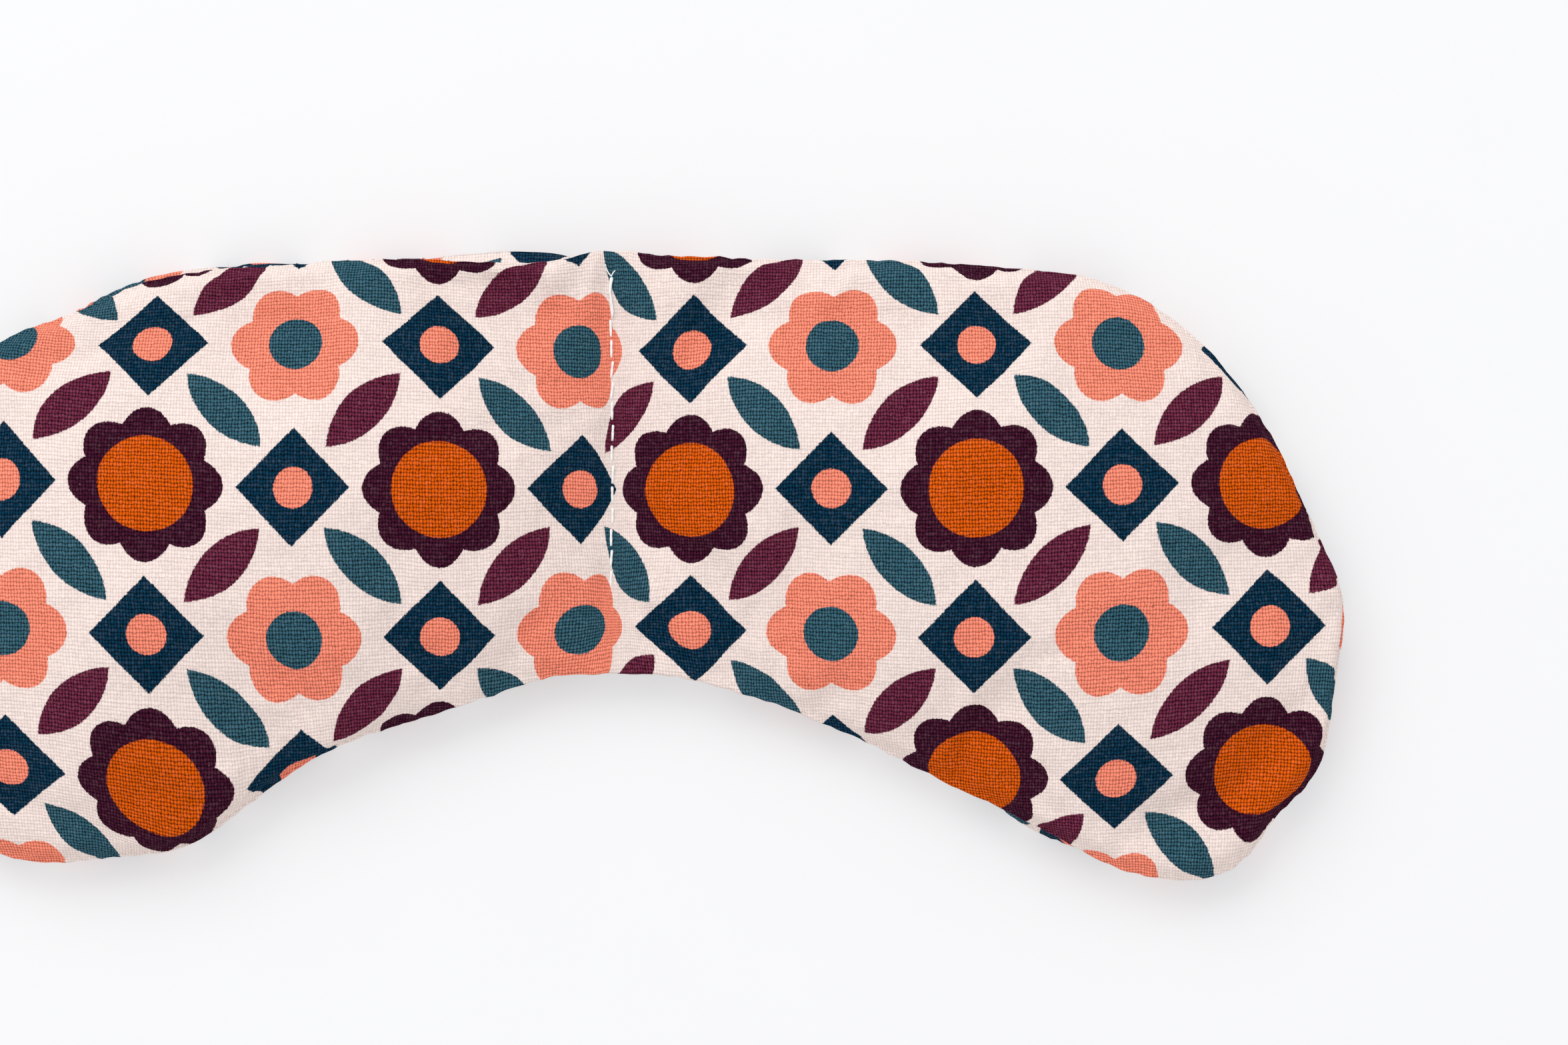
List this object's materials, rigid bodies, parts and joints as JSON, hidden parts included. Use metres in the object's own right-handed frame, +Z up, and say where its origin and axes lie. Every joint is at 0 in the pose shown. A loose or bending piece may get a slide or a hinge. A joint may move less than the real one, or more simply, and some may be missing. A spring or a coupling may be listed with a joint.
{
  "type": "seed-filled eye pillow",
  "caption": "Mask-shaped padded eye pillow of printed cotton, sewn down the middle into seed-filled pockets, with a curved nose cut.",
  "frame": {"origin": "on the surface that the pillow lies on, under the middle of its width and height", "axes": "+X along the width towards the right pocket, +Y towards the long top edge and away from the nose cut, +Z up out of the front panel"},
  "size_m": [0.23, 0.0987, 0.018],
  "materials": {
    "printed_cotton": "matte plain weave with a geometric flower print in plum, orange, coral, navy and teal",
    "sewing_thread": "soft white spun thread",
    "seeds": "smooth brown seeds"
  },
  "bodies": {
    "right_pocket": {"front_panel_right": "printed_cotton", "back_panel_right": "printed_cotton", "centre_seam": "printed_cotton", "centre_stitch_front": "sewing_thread", "centre_stitch_back": "sewing_thread", "edge_stitch_front_right": "sewing_thread", "edge_stitch_back_right": "sewing_thread", "seed_fill_right": "seeds"},
    "left_pocket": {"front_panel_left": "printed_cotton", "back_panel_left": "printed_cotton", "edge_stitch_front_left": "sewing_thread", "edge_stitch_back_left": "sewing_thread", "closing_stitch": "sewing_thread", "seed_fill_left": "seeds"}
  },
  "joints": [
    {"name": "centre_fold", "type": "hinge", "parent": "right_pocket", "child": "left_pocket", "pos_m": [0, 0.0163, 0.006], "axis": [0, 1, 0], "range_deg": [-125, 125]}
  ]
}
